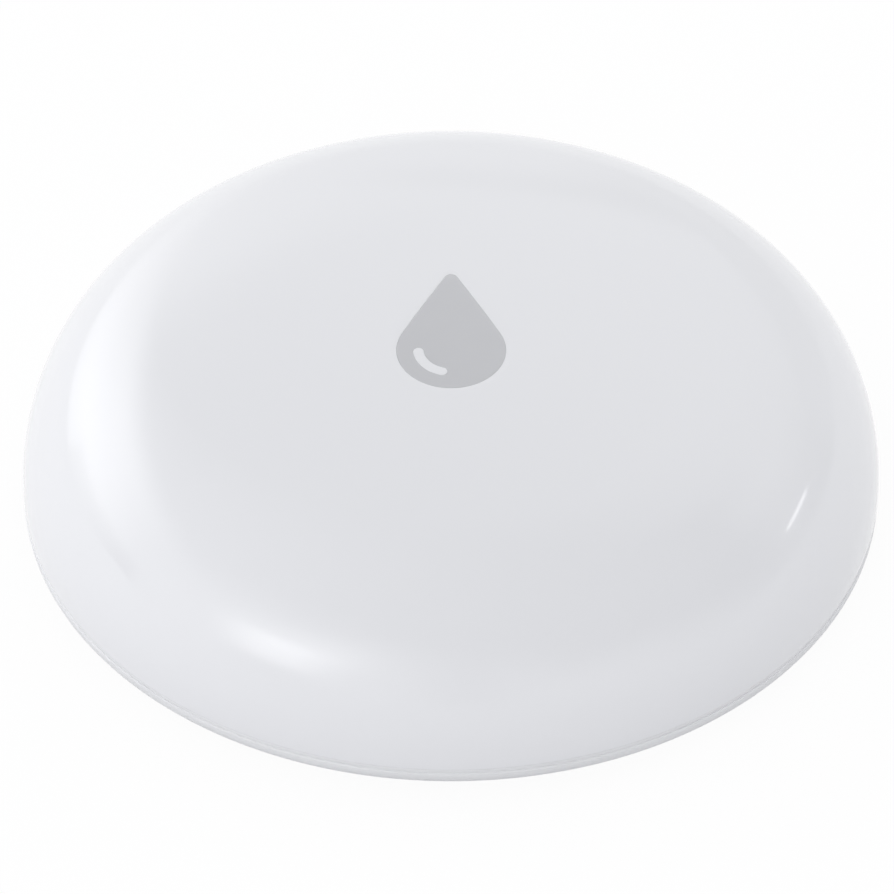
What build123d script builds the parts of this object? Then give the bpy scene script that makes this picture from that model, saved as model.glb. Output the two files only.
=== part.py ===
from build123d import *
import os
from math import acos, atan2, cos, degrees, radians, sin, sqrt

# A water leak sensor: a white pebble-shaped disc that stands on the floor on four low feet.
# Its domed cover is the push button, and two metal pins underneath sense the water.
# Millimetres. Z is up, the origin is on the floor under the middle, and -Y is the near side.

# Outer form
body_radius = 25.0
body_height = 15.0
crown_radius = 70.0
cover_wall = 1.6
rim_edge_radius = 0.15

# Press travel of the cover, and the parting gap that leaves room for it
press_travel = 0.2
press_gap = 0.25

# Drop mark in the crown
mark_width = 6.1
mark_length = 9.5
mark_setback = 2.9
mark_depth = 0.6
mark_tip_radius = 0.35
mark_stroke = 0.6
mark_stroke_radius_share = 0.6
mark_stroke_start_deg = 186.0
mark_stroke_sweep_deg = 68.0

# Base housing
foot_height = 0.5
foot_radius = 1.75
foot_edge_radius = 0.2
foot_inset = 0.4
foot_count = 4
floor_thickness = 1.4
flange_height = 1.6
flange_edge_radius = 0.7
belly_width = 2.5
belly_rise = 0.8
upstand_wall = 1.2
upstand_rise = 2.9
upstand_clearance = 0.3
collar_wall = 1.2
collar_roof = 0.9
sleeve_wall = 1.2
index_dot_radius = 0.45
index_dot_depth = 0.2
index_dot_inset = 1.0

# Snap barbs inside the cover, and their windows in the base's upstand
barb_count = 4
barb_sweep_deg = 11.0
barb_bite = 0.8
barb_height = 0.8
barb_lift = 0.95
barb_clearance = 0.05
window_side_deg = 1.5

# Rim gasket and its groove
gasket_width = 0.8
gasket_seat_depth = 0.5
gasket_setback = 0.35
gasket_edge_radius = 0.1

# Coin cell
cell_radius = 10.0
cell_height = 3.2
cell_edge_radius = 0.3
cell_side_height = 2.7
can_wall = 0.25
can_lip = 0.8
cap_setback = 1.1
cap_step = 0.2
cell_gasket_wall = 0.25
cell_clearance = 0.3
cell_rest_gap = 0.05

# Battery cover with three bayonet lugs
lid_recess = 0.1
lid_plate_thickness = 1.2
lid_edge_gap = 0.1
lid_edge_radius = 0.2
lid_face_gap = 0.05
lid_neck_wall = 1.1
lid_running_gap = 0.08
lid_rim_wall = 0.6
lug_count = 3
lug_reach = 0.9
lug_height = 0.8
lug_sweep_deg = 24.0
lug_tip_gap = 0.1
lug_face_gap = 0.05
lug_side_deg = 2.0
ledge_thickness = 0.8
lid_twist_deg = 40.0
coin_slot_length = 14.0
coin_slot_width = 1.8
coin_slot_depth = 0.7
lid_seal_width = 0.8
lid_seal_seat_depth = 0.5
lid_seal_inset = 0.15
lid_seal_edge_radius = 0.1

# Water probes: a headed pin, a sealing ring and a pillar each
probe_head_radius = 1.6
probe_head_height = 0.7
probe_head_edge_radius = 0.35
probe_floor_gap = 0.1
probe_shank_radius = 1.0
probe_thread_length = 2.4
probe_recess_gap = 0.2
probe_hole_gap = 0.05
probe_boss_wall = 1.5
probe_boss_height = 1.0
probe_seal_height = 0.4
pillar_across_flats = 4.0
pillar_side_gap = 0.2
thread_gap = 0.02

# Circuit board and its screws
board_thickness = 1.0
board_clearance = 0.4
contact_room = 0.95
screw_head_radius = 1.5
screw_head_height = 1.0
screw_head_edge_radius = 0.3
screw_radius = 0.8
screw_length = 4.5
screw_drive_width = 0.9
screw_drive_depth = 0.5
screw_hole_gap = 0.15
post_wall = 1.2

# Battery contacts, bent from strip
strip_thickness = 0.2
strip_bend_radius = 0.7
strip_width = 3.0
negative_span = 11.0
negative_tab = 1.5
positive_tab = 1.7
positive_knee = 0.9
positive_touch_height = 2.55
positive_tail_height = 2.25
positive_tail_flare = 0.15
strip_side_gap = 0.3
strip_end_gap = 0.2

# Push switch
switch_size = 6.0
switch_setback = 2.6
switch_body_height = 2.0
switch_edge = 0.3
frame_thickness = 0.2
plunger_radius = 1.7
plunger_rise = 0.7
plunger_edge_radius = 0.2
plunger_gap = 0.08
plunger_flange_reach = 0.5
plunger_flange_height = 0.5
plunger_face_gap = 0.02
dome_thickness = 0.1
dome_rise = 0.3
leg_length = 1.1
leg_width = 0.7
leg_thickness = 0.15
leg_side_inset = 0.5

# What carries the press from the cover to the switch
post_radius = 1.6
rib_span = 9.0
rib_thickness = 0.8
rib_drop = 0.6

# Status lamp and light guide
lamp_length = 1.6
lamp_width = 1.2
lamp_base_height = 0.3
lens_height = 0.35
lens_inset = 0.15
guide_radius = 1.2
guide_foot_radius = 1.5
guide_foot_height = 0.8
guide_lamp_gap = 0.4
guide_fit_gap = 0.03
guide_boss_wall = 0.8
guide_boss_drop = 1.8

# Packages on the board, with places as shares of the board's radius
chip_size = 6.0
chip_height = 0.85
chip_pin_one_radius = 0.35
chip_pin_one_depth = 0.05
chip_place_shares = (-0.68, 0.22)
crystal_length = 3.2
crystal_width = 2.5
crystal_height = 0.7
crystal_edge_radius = 0.3
crystal_place_shares = (-0.62, -0.2)
antenna_length = 8.0
antenna_width = 2.0
antenna_height = 1.0
antenna_reach_share = 0.82
antenna_angle_deg = 48.0
reservoir_length = 3.5
reservoir_width = 2.8
reservoir_height = 1.9
reservoir_edge = 0.25
reservoir_place_shares = (0.62, -0.34)

# Small parts stand in rows beside the packages that they serve, a pitch apart
small_part_length = 1.0
small_part_width = 0.5
small_part_gap = 0.5
small_part_pitch = 1.0
capacitor_height = 0.5
resistor_height = 0.35

# Cuts run past the faces that they open by this much
overrun = 1.0

# Heights of the outer form
flange_top = foot_height + flange_height
rim_z = flange_top + press_gap
crown_centre_z = body_height - crown_radius
rim_below_centre = rim_z - crown_centre_z
shoulder_radius = (crown_radius**2 - rim_below_centre**2 - body_radius**2) / (
    2 * (crown_radius - body_radius)
)
shoulder_reach = body_radius - shoulder_radius
shoulder_lean_deg = degrees(atan2(shoulder_reach, rim_below_centre))
inner_shoulder_radius = shoulder_radius - cover_wall


def inner_radius_at(z):
    """Radius of the cover's inner face where it is z above the floor, on its shoulder."""
    return shoulder_reach + sqrt(inner_shoulder_radius**2 - (z - rim_z) ** 2)


# The battery bay, from the lid's face up to the board
lid_face_z = foot_height + lid_recess
lid_plate_top = lid_face_z + lid_plate_thickness
cell_bottom = lid_plate_top + cell_rest_gap
cell_top = cell_bottom + cell_height
board_bottom = cell_top + contact_room
board_top = board_bottom + board_thickness
ledge_bottom = lid_plate_top + lid_face_gap
ledge_top = ledge_bottom + ledge_thickness
lug_bottom = ledge_top + lug_face_gap
lug_top = lug_bottom + lug_height
channel_top = lug_top + lug_tip_gap
collar_top = channel_top + collar_roof
cap_radius = cell_radius - cap_setback
sleeve_radius = cell_radius + cell_clearance
sleeve_outer = sleeve_radius + sleeve_wall
neck_radius = sleeve_radius + lid_neck_wall
ledge_radius = neck_radius + lid_running_gap
lug_radius = neck_radius + lug_reach
channel_radius = lug_radius + lug_tip_gap
lid_seal_inner = ledge_radius + lid_seal_inset
lid_seal_outer = lid_seal_inner + lid_seal_width
lid_radius = lid_seal_outer + lid_rim_wall
pocket_radius = lid_radius + lid_edge_gap
collar_outer = pocket_radius + collar_wall

# The base's walls, and the circle between them that carries the pins and screws
floor_top = foot_height + floor_thickness
upstand_top = rim_z + upstand_rise
upstand_outer = inner_radius_at(upstand_top + press_travel) - upstand_clearance
upstand_inner = upstand_outer - upstand_wall
belly_radius = body_radius - belly_width
foot_circle = belly_radius - foot_inset - foot_radius
fixing_circle = (collar_outer + upstand_inner) / 2
groove_outer = body_radius - gasket_setback
groove_inner = groove_outer - gasket_width
groove_floor = flange_top - gasket_seat_depth
barb_bottom = rim_z + barb_lift
barb_top = barb_bottom + barb_height
board_radius = upstand_inner - board_clearance

# The probes
probe_tip_z = probe_floor_gap
probe_head_top = probe_tip_z + probe_head_height
probe_recess_top = probe_head_top + probe_seal_height
probe_boss_top = floor_top + probe_boss_height
pillar_corner_radius = pillar_across_flats / sqrt(3)

# The switch, the lamp and the mark over them
frame_bottom = board_top + switch_body_height
frame_top = frame_bottom + frame_thickness
plunger_top = frame_top + plunger_rise
flange_face_z = frame_bottom - plunger_face_gap
plunger_bottom = flange_face_z - plunger_flange_height
dome_floor = plunger_bottom - dome_rise
flange_radius = plunger_radius + plunger_flange_reach
bulb_radius = mark_width / 2
tip_reach = mark_length - bulb_radius - mark_tip_radius
bulb_y = bulb_radius - mark_length / 2 - mark_setback
lamp_top = board_top + lamp_base_height + lens_height
strip_z = board_bottom - strip_thickness / 2


def lathe(points, sweep_deg=360.0, start_deg=0.0):
    """Solid turned about Z from an outline of (radius, height) points."""
    outline = Plane.XZ * make_face(Polyline(*points, close=True))
    return Rot(0, 0, start_deg) * revolve(outline, Axis.Z, sweep_deg)


def ring_sector(inner, outer, bottom, top, middle_deg=0.0, sweep_deg=360.0):
    """Part of a square-edged ring, centred on an angle about Z."""
    corners = ((inner, bottom), (outer, bottom), (outer, top), (inner, top))
    return lathe(corners, sweep_deg, middle_deg - sweep_deg / 2)


def rod(radius, bottom, top, x=0.0, y=0.0):
    """Upright cylinder between two heights."""
    return Pos(x, y, bottom) * Cylinder(radius, top - bottom, align=(Align.CENTER, Align.CENTER, Align.MIN))


def block(length, width, bottom, top, x=0.0, y=0.0, turn_deg=0.0):
    """Upright box between two heights."""
    solid = Box(length, width, top - bottom, align=(Align.CENTER, Align.CENTER, Align.MIN))
    return Pos(x, y, bottom) * Rot(0, 0, turn_deg) * solid


def crown_ball(drop):
    """Ball whose surface runs under the crown at an even depth."""
    return Pos(0, 0, crown_centre_z) * Rot(90, 0, 0) * Sphere(crown_radius - drop)


def round_edges(solid, height, radius):
    """Round the circles that lie at one height."""
    edges = [e for e in solid.edges().filter_by(GeomType.CIRCLE) if abs(e.center().Z - height) < radius / 100]
    return fillet(edges, radius)


def around(count, first_deg=0.0):
    """Evenly spaced angles about Z."""
    return [first_deg + 360 * i / count for i in range(count)]


def spot(radius, angle_deg):
    """Plan position at an angle about Z."""
    return (radius * cos(radians(angle_deg)), radius * sin(radians(angle_deg)))


barb_angles = around(barb_count, 180 / barb_count)
lug_angles = around(lug_count, 90.0)
probe_angles = (180.0, 0.0)
screw_angles = (90.0, 270.0)


def on_arc(reach, height, radius, lean_deg):
    """Point of an arc round (reach, height), where lean is measured from straight up."""
    return (reach + radius * sin(radians(lean_deg)), height + radius * cos(radians(lean_deg)))


def dome_arcs(drop):
    """Crown arc and shoulder arc of the cover, run inwards by an even depth."""
    crown = [on_arc(0, crown_centre_z, crown_radius - drop, shoulder_lean_deg * k / 2) for k in (0, 1, 2)]
    leans = (shoulder_lean_deg, (shoulder_lean_deg + 90) / 2, 90)
    shoulder = [on_arc(shoulder_reach, rim_z, shoulder_radius - drop, lean) for lean in leans]
    return ThreePointArc(*crown), ThreePointArc(*shoulder)


def drop_face():
    """Plan of the mark: a plain round drop with its tip away from the near side."""
    lean = acos((bulb_radius - mark_tip_radius) / tip_reach)
    across, along = sin(lean), cos(lean)
    bulb_side, bulb_end = bulb_radius * across, bulb_radius * along
    tip_side, tip_end = mark_tip_radius * across, tip_reach + mark_tip_radius * along
    outline = Curve() + [
        ThreePointArc((-bulb_side, bulb_end), (0, -bulb_radius), (bulb_side, bulb_end)),
        Line((bulb_side, bulb_end), (tip_side, tip_end)),
        ThreePointArc((tip_side, tip_end), (0, tip_reach + mark_tip_radius), (-tip_side, tip_end)),
        Line((-tip_side, tip_end), (-bulb_side, bulb_end)),
    ]
    gleam = CenterArc(
        (0, 0), bulb_radius * mark_stroke_radius_share, mark_stroke_start_deg, mark_stroke_sweep_deg
    )
    return Pos(0, bulb_y) * (make_face(outline) - SlotArc(gleam, mark_stroke))


def mark_tool():
    """Everything above the mark's seat, in the mark's plan."""
    prism = extrude(Pos(0, 0, board_top) * drop_face(), body_height - board_top + overrun)
    return prism - crown_ball(mark_depth)


def top_cover():
    """Domed shell with the switch post, the guide's boss and the snap barbs inside."""
    outer_crown, outer_shoulder = dome_arcs(0)
    inner_crown, inner_shoulder = dome_arcs(cover_wall)
    rim = Line((body_radius, rim_z), (body_radius - cover_wall, rim_z))
    axis = Line((0, body_height - cover_wall), (0, body_height))
    outline = make_face(Curve() + [outer_crown, outer_shoulder, rim, inner_shoulder, inner_crown, axis])
    shell = revolve(Plane.XZ * outline, Axis.Z)
    outer_rim = [e for e in shell.edges().group_by(Axis.Z)[0] if e.radius > body_radius - cover_wall / 2]
    shell = fillet(outer_rim, rim_edge_radius)

    inside = crown_ball(cover_wall / 2)
    rib_bottom = plunger_top + rib_drop
    carrier = rod(post_radius, plunger_top, body_height, y=switch_setback)
    carrier += block(rib_span, rib_thickness, rib_bottom, body_height, y=switch_setback)
    carrier += block(rib_thickness, rib_span, rib_bottom, body_height, y=switch_setback)
    boss_bottom = body_height - cover_wall - guide_boss_drop
    carrier += rod(guide_radius + guide_fit_gap + guide_boss_wall, boss_bottom, body_height, y=bulb_y)
    shell += carrier & inside

    barb_inner = upstand_outer - barb_bite
    barb_outer = inner_radius_at(barb_bottom) + cover_wall / 2
    barb = (
        (barb_outer, barb_bottom), (barb_outer, barb_top), (barb_inner, barb_top),
        (barb_inner, barb_top - barb_height / 3), (inner_radius_at(barb_top), barb_bottom),
    )
    for angle in barb_angles:
        shell += lathe(barb, barb_sweep_deg, angle - barb_sweep_deg / 2)
    shell -= rod(guide_radius + guide_fit_gap, board_top, body_height, y=bulb_y)
    return shell - mark_tool()


def drop_mark():
    """Grey drop moulded flush into the crown."""
    return mark_tool() & crown_ball(0)


def light_guide():
    """Clear pipe from over the lamp up to the mark, with a wider foot that gathers the light."""
    bottom = lamp_top + guide_lamp_gap
    pipe = rod(guide_radius, bottom, body_height, y=bulb_y)
    pipe += rod(guide_foot_radius, bottom, bottom + guide_foot_height, y=bulb_y)
    return pipe & crown_ball(mark_depth)


def rim_gasket():
    """Soft ring that stands in the base's groove and meets the cover's rim."""
    ring = ring_sector(groove_inner, groove_outer, groove_floor, rim_z)
    return round_edges(ring, rim_z, gasket_edge_radius)


def base_housing():
    """Dish with a rounded edge, feet, the battery collar, bosses for the pins and posts for the screws."""
    section = (
        (pocket_radius, foot_height), (belly_radius, foot_height), (body_radius, foot_height + belly_rise),
        (body_radius, flange_top), (groove_outer, flange_top), (groove_outer, groove_floor),
        (groove_inner, groove_floor), (groove_inner, flange_top), (upstand_outer, flange_top),
        (upstand_outer, upstand_top), (upstand_inner, upstand_top), (upstand_inner, floor_top),
        (collar_outer, floor_top), (collar_outer, collar_top), (sleeve_outer, collar_top),
        (sleeve_outer, board_bottom), (sleeve_radius, board_bottom), (sleeve_radius, channel_top),
        (ledge_radius, channel_top), (ledge_radius, ledge_bottom), (pocket_radius, ledge_bottom),
    )
    base = round_edges(lathe(section), foot_height + belly_rise, flange_edge_radius)
    top_edges = base.edges().filter_by(GeomType.CIRCLE).filter_by_position(Axis.Z, flange_top, flange_top)
    base = fillet([e for e in top_edges if e.radius > groove_outer], rim_edge_radius)

    for angle in around(foot_count, 180 / foot_count):
        x, y = spot(foot_circle, angle)
        foot = rod(foot_radius, 0, floor_top - floor_thickness / 2, x, y)
        base += round_edges(foot, 0, foot_edge_radius)

    for angle in probe_angles:
        x, y = spot(fixing_circle, angle)
        base += rod(probe_shank_radius + probe_hole_gap + probe_boss_wall, foot_height, probe_boss_top, x, y)
        base -= rod(probe_head_radius + probe_recess_gap, 0, probe_recess_top, x, y)
        base -= rod(probe_shank_radius + probe_hole_gap, 0, probe_boss_top + overrun, x, y)
        base -= rod(pillar_corner_radius + pillar_side_gap, probe_boss_top, board_bottom + overrun, x, y)

    for angle in screw_angles:
        x, y = spot(fixing_circle, angle)
        base += rod(screw_radius + post_wall, floor_top - floor_thickness / 2, board_bottom, x, y)
        tip_z = board_top - screw_length
        base -= rod(screw_radius + thread_gap, tip_z - overrun / 2, board_bottom + overrun, x, y)

    for angle in barb_angles:
        window_bottom = barb_bottom - press_travel - barb_clearance
        base -= ring_sector(
            upstand_inner - overrun, upstand_outer + upstand_clearance, window_bottom,
            barb_top + barb_clearance, angle, barb_sweep_deg + 2 * window_side_deg,
        )

    for angle in lug_angles:
        channel_sweep = lug_sweep_deg + lid_twist_deg + 2 * lug_side_deg
        base -= ring_sector(
            ledge_radius - overrun, channel_radius, ledge_top, channel_top,
            angle + lid_twist_deg / 2, channel_sweep,
        )
        base -= ring_sector(
            ledge_radius - overrun, channel_radius, ledge_bottom - overrun, channel_top,
            angle + lid_twist_deg, lug_sweep_deg + 2 * lug_side_deg,
        )

    window_width = strip_width + 2 * strip_side_gap
    window_reach = sleeve_outer + positive_tab + strip_end_gap
    window_bottom = cell_bottom + positive_tail_height - strip_end_gap
    base -= block(
        window_width, window_reach, window_bottom, board_bottom + overrun, y=window_reach / 2
    )

    for angle in (lug_angles[0], lug_angles[0] + lid_twist_deg):
        x, y = spot(pocket_radius + index_dot_inset, angle)
        base -= rod(index_dot_radius, foot_height - overrun, foot_height + index_dot_depth, x, y)
    return base


def battery_cover():
    """Twist-lock lid: a plate with a coin slot, and a neck with lugs that hook over the base's ledge."""
    seat = lid_plate_top - lid_seal_seat_depth
    section = (
        (0, lid_face_z), (lid_radius, lid_face_z), (lid_radius, lid_plate_top),
        (lid_seal_outer, lid_plate_top), (lid_seal_outer, seat), (lid_seal_inner, seat),
        (lid_seal_inner, lid_plate_top), (neck_radius, lid_plate_top), (neck_radius, lug_top),
        (sleeve_radius, lug_top), (sleeve_radius, lid_plate_top), (0, lid_plate_top),
    )
    lid = round_edges(lathe(section), lid_face_z, lid_edge_radius)
    for angle in lug_angles:
        lid += ring_sector(neck_radius - lid_neck_wall / 2, lug_radius, lug_bottom, lug_top, angle, lug_sweep_deg)
    slot = Pos(0, 0, lid_face_z - overrun) * SlotOverall(coin_slot_length, coin_slot_width)
    lid -= extrude(slot, overrun + coin_slot_depth)
    x, y = spot(lid_radius - index_dot_inset, lug_angles[0])
    return lid - rod(index_dot_radius, 0, lid_face_z + index_dot_depth, x, y)


def battery_cover_seal():
    """Soft ring between the lid's plate and the base's ledge."""
    seat = lid_plate_top - lid_seal_seat_depth
    ring = ring_sector(lid_seal_inner, lid_seal_outer, seat, ledge_bottom)
    return round_edges(ring, ledge_bottom, lid_seal_edge_radius)


def battery_can():
    """Positive cup of the coin cell, with its lip turned in over the gasket."""
    lip_top = cell_bottom + cell_side_height + cell_edge_radius
    inner = cell_radius - can_wall
    can = rod(cell_radius, cell_bottom, lip_top)
    can = round_edges(can, cell_bottom, cell_edge_radius)
    can = round_edges(can, lip_top, cell_edge_radius)
    can -= rod(inner, cell_bottom + can_wall, lip_top - can_wall)
    return can - rod(cell_radius - can_lip, cell_bottom + can_wall, lip_top + overrun)


def battery_cap():
    """Negative cap of the coin cell, drawn in one step and closed over the filling."""
    step_z = cell_top - cap_step
    inner_floor = cell_bottom + can_wall + cell_gasket_wall
    cap = rod(cap_radius, inner_floor, step_z)
    cap += round_edges(rod(cap_radius - cell_edge_radius, step_z, cell_top), cell_top, cap_step / 2)
    return cap


def battery_gasket():
    """Insulating cup between the cell's can and cap."""
    inner_floor = cell_bottom + can_wall
    lip_top = cell_bottom + cell_side_height + cell_edge_radius
    ring = rod(cell_radius - can_wall, inner_floor, lip_top - can_wall)
    ring += rod(cell_radius - can_lip, inner_floor, lip_top)
    return ring - rod(cap_radius, inner_floor + cell_gasket_wall, lip_top + overrun)


def negative_contact():
    """Shallow V of strip under the board that presses on the cell's cap."""
    half = negative_span / 2
    low = cell_top + strip_thickness / 2
    path = FilletPolyline(
        (-half, strip_z), (negative_tab - half, strip_z), (0, low), (half - negative_tab, strip_z),
        (half, strip_z), radius=strip_bend_radius,
    )
    return extrude(Plane.XZ * trace(path, strip_thickness), strip_width / 2, both=True)


def positive_contact():
    """Strip under the board that bends down through the sleeve's window to the side of the cell."""
    touch = cell_radius + strip_thickness / 2
    path = FilletPolyline(
        (sleeve_outer + positive_tab, strip_z), (touch + positive_knee, strip_z),
        (touch, cell_bottom + positive_touch_height),
        (touch + positive_tail_flare, cell_bottom + positive_tail_height),
        radius=(strip_bend_radius, strip_thickness),
    )
    return extrude(Plane.YZ * trace(path, strip_thickness), strip_width / 2, both=True)


def water_probe(angle):
    """Headed pin whose tip stands just clear of the floor."""
    x, y = spot(fixing_circle, angle)
    head = round_edges(rod(probe_head_radius, probe_tip_z, probe_head_top), probe_tip_z, probe_head_edge_radius)
    return Pos(x, y, 0) * (head + rod(probe_shank_radius, probe_head_top, probe_boss_top + probe_thread_length))


def probe_seals():
    """Soft rings between the pins' heads and the base."""
    hole = probe_shank_radius + probe_hole_gap
    rings = []
    for angle in probe_angles:
        x, y = spot(fixing_circle, angle)
        ring = rod(probe_head_radius, probe_head_top, probe_recess_top) - rod(hole, 0, body_height)
        rings.append(Pos(x, y, 0) * ring)
    return Compound(rings)


def probe_pillars():
    """Hexagonal pillars that clamp the pins and lead up to the board."""
    pillars = []
    for angle in probe_angles:
        x, y = spot(fixing_circle, angle)
        hexagon = RegularPolygon(pillar_across_flats / 2, 6, major_radius=False)
        pillar = Pos(0, 0, probe_boss_top) * extrude(hexagon, board_bottom - probe_boss_top)
        bore_top = probe_boss_top + probe_thread_length + thread_gap
        pillar -= rod(probe_shank_radius + thread_gap, 0, bore_top)
        pillars.append(Pos(x, y, 0) * pillar)
    return Compound(pillars)


def circuit_board():
    """Round board that rests on the battery sleeve, the pillars and the screw posts."""
    board = rod(board_radius, board_bottom, board_top)
    for angle in screw_angles:
        x, y = spot(fixing_circle, angle)
        board -= rod(screw_radius + screw_hole_gap, 0, body_height, x, y)
    return board


def board_screws():
    """Two pan-headed screws with a cross drive."""
    screws = []
    for angle in screw_angles:
        x, y = spot(fixing_circle, angle)
        head_top = board_top + screw_head_height
        head = round_edges(rod(screw_head_radius, board_top, head_top), head_top, screw_head_edge_radius)
        screw = head + rod(screw_radius, board_top - screw_length, board_top)
        drive_floor = head_top - screw_drive_depth
        drive_length = screw_head_radius + screw_drive_width / 2
        for turn in (0, 90):
            screw -= block(
                drive_length, screw_drive_width / 2, drive_floor, head_top + overrun, turn_deg=turn
            )
        screws.append(Pos(x, y, 0) * screw)
    return Compound(screws)


def switch_body():
    """Moulded body of the switch, hollow for the plunger's flange and the snap disc."""
    body = block(switch_size, switch_size, board_top, frame_bottom, y=switch_setback)
    body = chamfer(body.edges().filter_by(Axis.Z), switch_edge)
    return body - rod(flange_radius + plunger_gap, dome_floor, frame_bottom + overrun, y=switch_setback)


def switch_frame():
    """Metal plate that closes the switch round its plunger."""
    plate = block(switch_size, switch_size, frame_bottom, frame_top, y=switch_setback)
    plate = chamfer(plate.edges().filter_by(Axis.Z), switch_edge)
    return plate - rod(plunger_radius + plunger_gap, 0, body_height, y=switch_setback)


def switch_plunger():
    """Round plunger with a flange that the frame holds in."""
    stem = rod(plunger_radius, flange_face_z, plunger_top)
    stem = round_edges(stem, plunger_top, plunger_edge_radius)
    return Pos(0, switch_setback, 0) * (stem + rod(flange_radius, plunger_bottom, flange_face_z))


def switch_dome():
    """Thin domed disc under the plunger, which snaps through and pushes back."""
    rise = dome_rise - dome_thickness
    ball = (flange_radius**2 + rise**2) / (2 * rise)
    centre_z = dome_floor + rise - ball
    cap = Pos(0, 0, centre_z) * (Sphere(ball + dome_thickness) - Sphere(ball))
    cap &= rod(flange_radius, dome_floor, plunger_bottom)
    return Pos(0, switch_setback, 0) * cap


def switch_terminals():
    """Four legs soldered flat on the board."""
    legs = []
    reach = switch_size / 2 + leg_length / 2
    row = switch_size / 2 - leg_side_inset - leg_width / 2
    for side in (-1, 1):
        for end in (-1, 1):
            place = (side * reach, switch_setback + end * row)
            legs.append(block(leg_length, leg_width, board_top, board_top + leg_thickness, *place))
    return Compound(legs)


def status_led():
    """Lamp package under the light guide."""
    return block(lamp_length, lamp_width, board_top, board_top + lamp_base_height, y=bulb_y)


def led_lens():
    """Clear cast lens on the lamp."""
    length, width = lamp_length - 2 * lens_inset, lamp_width - 2 * lens_inset
    lens = block(length, width, board_top + lamp_base_height, lamp_top, y=bulb_y)
    return chamfer(lens.edges().group_by(Axis.Z)[-1], lens_inset)


def on_board(shares):
    """Plan position from shares of the board's radius."""
    return (shares[0] * board_radius, shares[1] * board_radius)


def radio_chip():
    """Flat square package with a pin-one dimple."""
    x, y = on_board(chip_place_shares)
    top = board_top + chip_height
    package = block(chip_size, chip_size, board_top, top, x, y)
    corner = chip_size / 2 - 2 * chip_pin_one_radius
    return package - rod(chip_pin_one_radius, top - chip_pin_one_depth, top + overrun, x - corner, y + corner)


def crystal():
    """Clock crystal in a lidded metal case."""
    case = block(crystal_length, crystal_width, board_top, board_top + crystal_height)
    return Pos(*on_board(crystal_place_shares), 0) * fillet(case.edges().filter_by(Axis.Z), crystal_edge_radius)


def chip_antenna():
    """Ceramic bar near the board's edge, clear of the cell."""
    x, y = spot(antenna_reach_share * board_radius, antenna_angle_deg)
    top = board_top + antenna_height
    return block(antenna_length, antenna_width, board_top, top, x, y, antenna_angle_deg - 90)


def reservoir_capacitor():
    """Moulded block capacitor that carries the radio's bursts."""
    x, y = on_board(reservoir_place_shares)
    case = block(reservoir_length, reservoir_width, board_top, board_top + reservoir_height, x, y)
    return chamfer(case.edges().group_by(Axis.Z)[-1], reservoir_edge)


def part_row(place, width, side, count, height):
    """Row of small parts along the far side (1) or near side (-1) of a package of that width."""
    x, y = place
    y += side * (width / 2 + small_part_gap + small_part_length / 2)
    starts = [x + small_part_pitch * (k - (count - 1) / 2) for k in range(count)]
    return [block(small_part_width, small_part_length, board_top, board_top + height, at, y) for at in starts]


def small_capacitors():
    """Ceramic capacitors, four beside the radio chip and two beside the reservoir capacitor."""
    chip, reservoir = on_board(chip_place_shares), on_board(reservoir_place_shares)
    near_chip = part_row(chip, chip_size, 1, 4, capacitor_height)
    return Compound(near_chip + part_row(reservoir, reservoir_width, 1, 2, capacitor_height))


def small_resistors():
    """Chip resistors, three beside the crystal and three beside the reservoir capacitor."""
    clock, reservoir = on_board(crystal_place_shares), on_board(reservoir_place_shares)
    near_clock = part_row(clock, crystal_width, -1, 3, resistor_height)
    return Compound(near_clock + part_row(reservoir, reservoir_width, -1, 3, resistor_height))


pieces = {
    "top_cover": top_cover(),
    "drop_mark": drop_mark(),
    "light_guide": light_guide(),
    "rim_gasket": rim_gasket(),
    "base_housing": base_housing(),
    "battery_cover": battery_cover(),
    "battery_cover_seal": battery_cover_seal(),
    "battery_can": battery_can(),
    "battery_cap": battery_cap(),
    "battery_gasket": battery_gasket(),
    "negative_contact": negative_contact(),
    "positive_contact": positive_contact(),
    "water_probe_left": water_probe(probe_angles[0]),
    "water_probe_right": water_probe(probe_angles[1]),
    "probe_seals": probe_seals(),
    "probe_pillars": probe_pillars(),
    "circuit_board": circuit_board(),
    "board_screws": board_screws(),
    "switch_body": switch_body(),
    "switch_frame": switch_frame(),
    "switch_plunger": switch_plunger(),
    "switch_dome": switch_dome(),
    "switch_terminals": switch_terminals(),
    "status_led": status_led(),
    "led_lens": led_lens(),
    "radio_chip": radio_chip(),
    "crystal": crystal(),
    "chip_antenna": chip_antenna(),
    "reservoir_capacitor": reservoir_capacitor(),
    "small_capacitors": small_capacitors(),
    "small_resistors": small_resistors(),
}

os.makedirs("parts", exist_ok=True)
for name, piece in pieces.items():
    export_step(piece, f"parts/{name}.step")
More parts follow.
